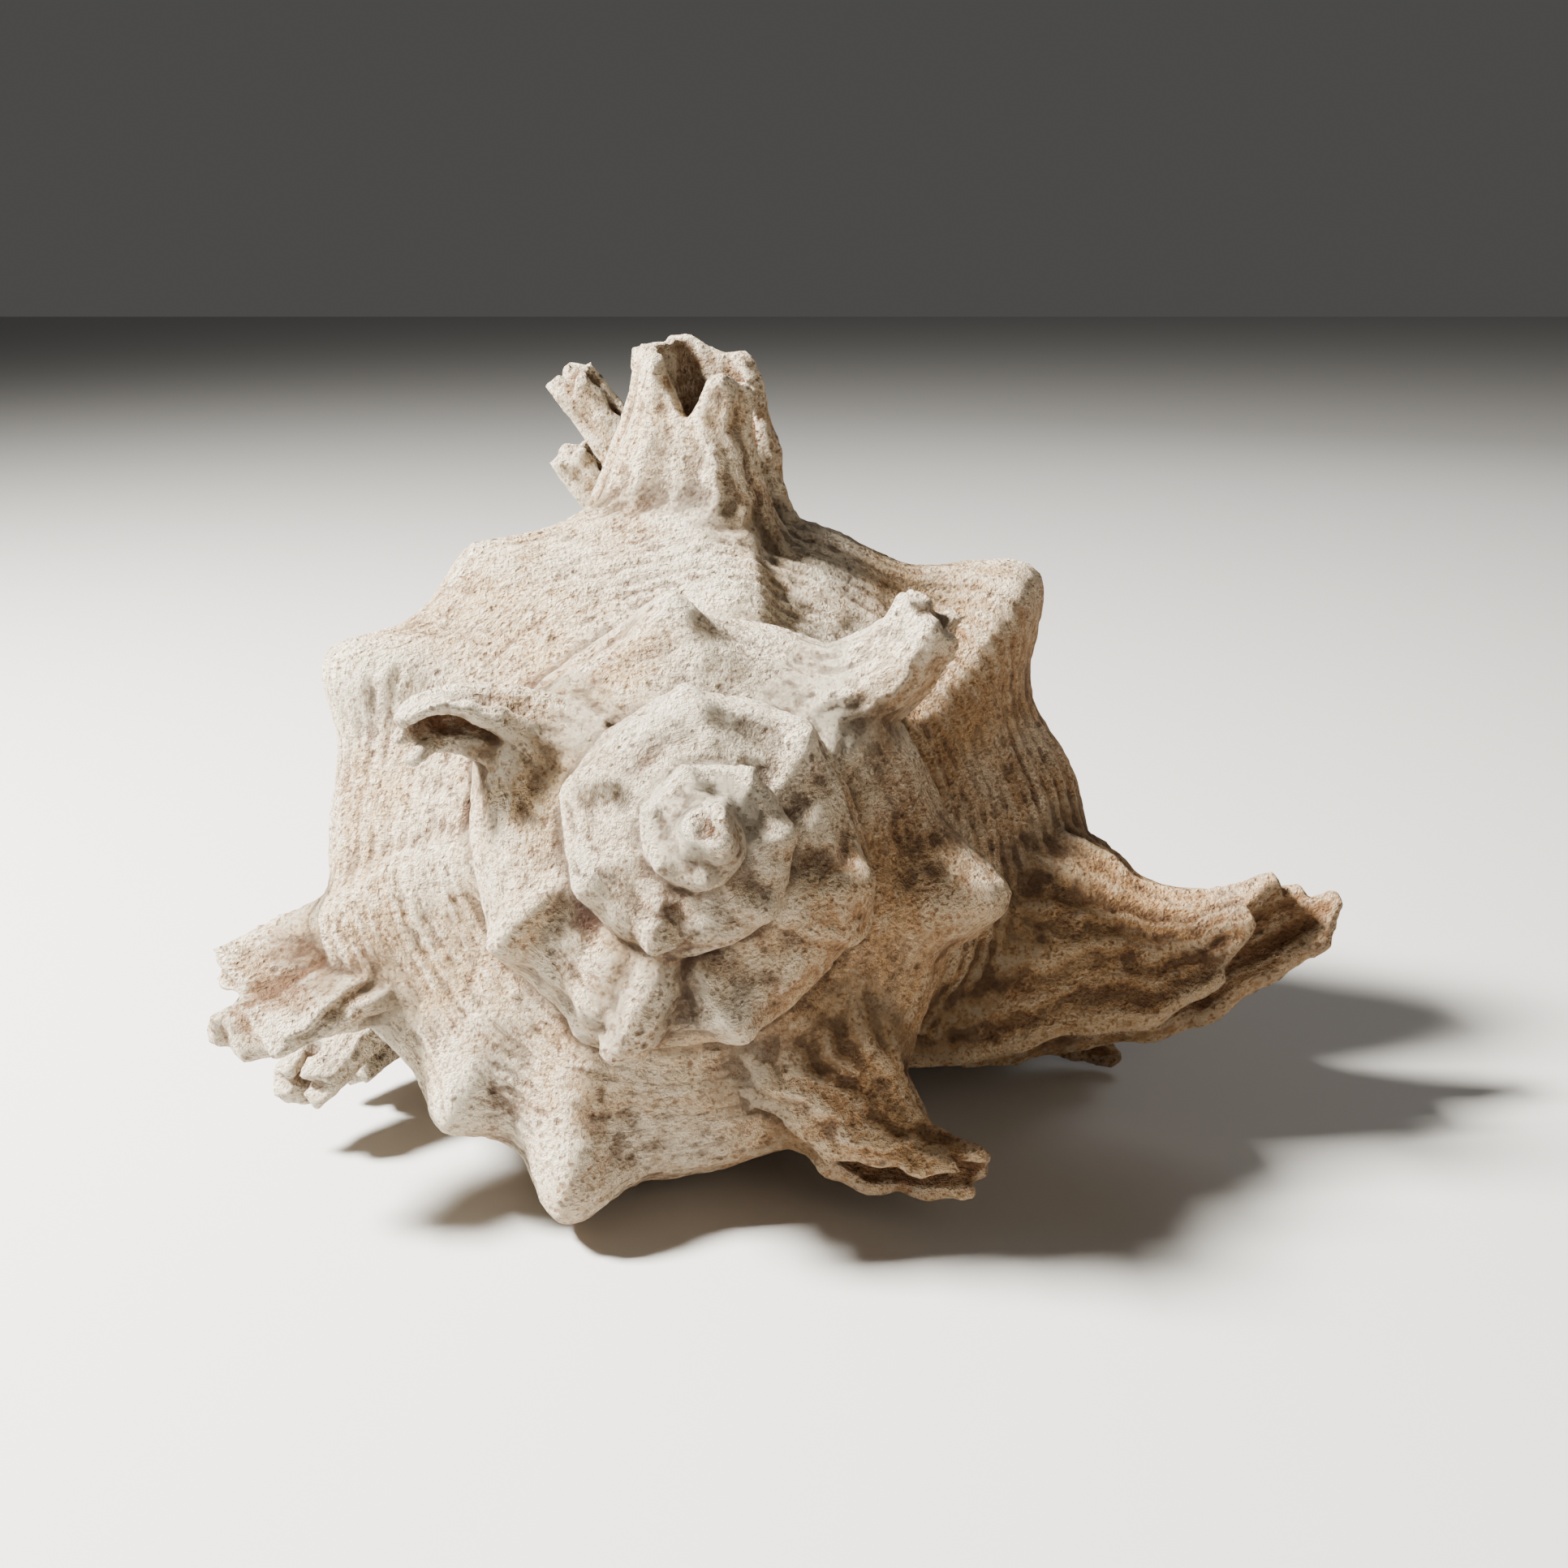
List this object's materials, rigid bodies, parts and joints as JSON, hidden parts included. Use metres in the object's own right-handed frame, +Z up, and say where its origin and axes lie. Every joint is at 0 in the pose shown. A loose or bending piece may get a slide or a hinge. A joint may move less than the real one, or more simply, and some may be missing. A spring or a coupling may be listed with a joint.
{
  "type": "murex shell",
  "caption": "Sun-bleached murex shell with a stepped spire, rounded knobs and channelled fronds, lying on a table with its mouth down.",
  "frame": {"origin": "centre of the bounding box's base, at the surface that the shell rests on", "axes": "+Z up, -Y toward the apex of the spire, +Y toward the canal, +X toward the frond of the lip"},
  "size_m": [0.1629, 0.1705, 0.116],
  "materials": {
    "shell": "matte, chalky and pitted"
  },
  "bodies": {
    "root": {"shell": "shell"}
  },
  "joints": []
}
